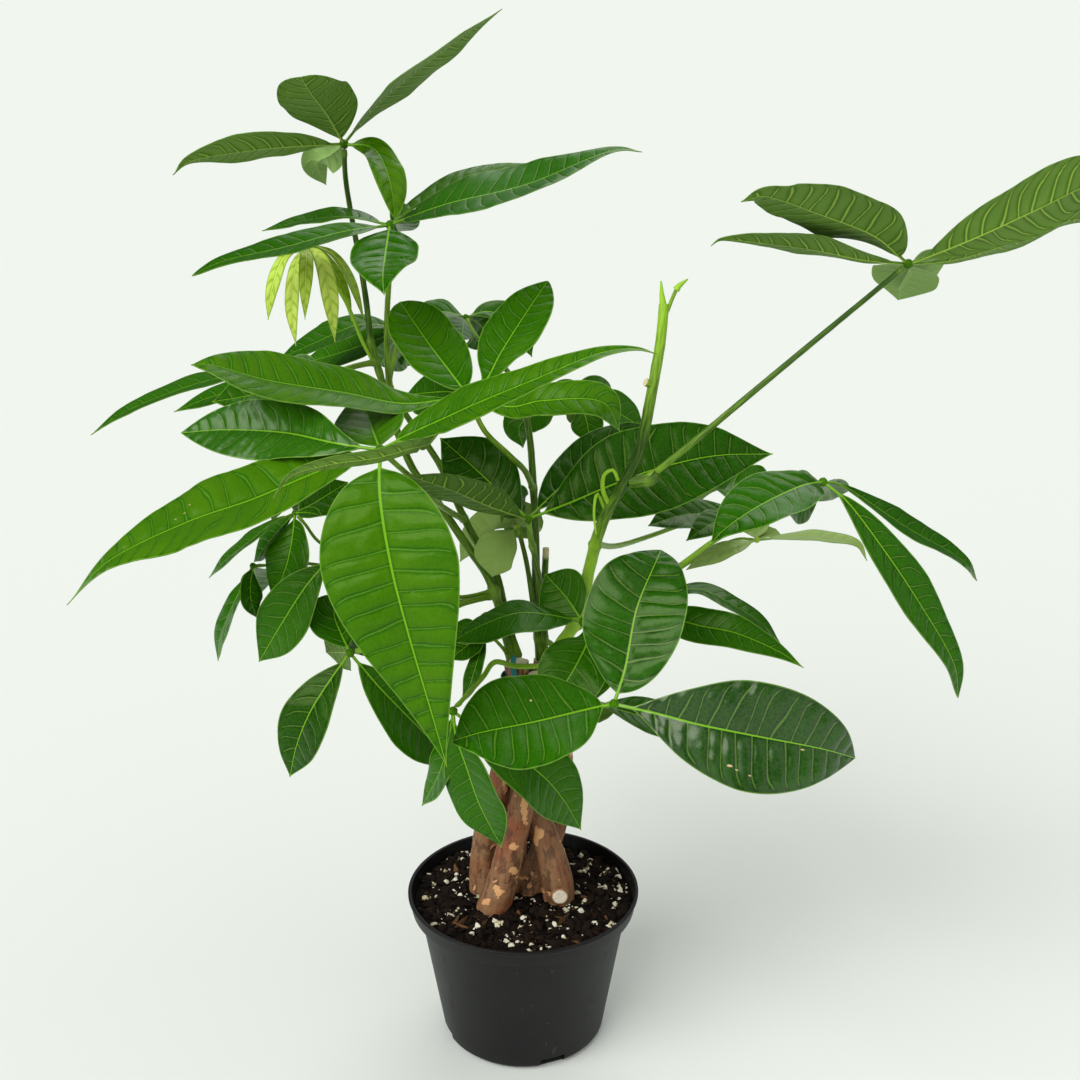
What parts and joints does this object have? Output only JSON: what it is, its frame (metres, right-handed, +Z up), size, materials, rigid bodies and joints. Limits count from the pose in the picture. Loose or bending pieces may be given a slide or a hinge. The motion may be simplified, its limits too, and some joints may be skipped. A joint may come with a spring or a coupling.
{
  "type": "potted money tree",
  "caption": "Potted money tree with a twisted trunk tied near its top, hand-shaped leaves on long stems, and soil in a round plastic nursery pot.",
  "frame": {"origin": "centre of the pot's flat underside", "axes": "+Z up along the pot's axis, -Y towards the front that the picture shows, +X to the right of the plant as seen from the front"},
  "size_m": [0.633, 0.3472, 0.6888],
  "materials": {
    "pot_plastic": "matte black",
    "potting_soil": "dark crumbly potting soil",
    "tie_plastic": "satin teal",
    "bark": "rough brown bark",
    "dark_stem": "smooth dark green stem",
    "green_stem": "smooth bright green stem",
    "leaf": "glossy green leaf",
    "young_leaf": "soft pale green leaf"
  },
  "bodies": {
    "root": {"pot": "pot_plastic", "soil": "potting_soil", "tie": "tie_plastic", "strand_front_left": "bark", "strand_left": "bark", "strand_front_right": "bark", "strand_right": "bark", "strand_back": "bark", "shoot_left": "dark_stem", "shoot_centre": "dark_stem", "shoot_right": "green_stem", "leaf_top_left": "leaf", "leaf_high_left": "leaf", "leaf_new_left": "young_leaf", "leaf_front_left": "leaf", "leaf_inner": "leaf", "leaf_centre": "leaf", "leaf_hanging_centre": "young_leaf", "leaf_front": "leaf", "leaf_low_centre": "leaf", "leaf_low_small": "leaf", "leaf_low_left": "leaf", "leaf_right": "leaf", "leaf_top_right": "leaf", "leaf_pale_right": "young_leaf", "leaf_back_right": "leaf", "leaf_lower_right": "leaf", "leaf_small_left": "leaf", "leaf_left": "leaf", "leaf_left_behind": "leaf", "leaf_hanging_left": "leaf", "leaf_back_left": "leaf", "leaf_far_left": "leaf", "leaf_back_top": "leaf", "leaf_back_centre": "leaf", "leaf_back_low": "leaf"}
  },
  "joints": []
}
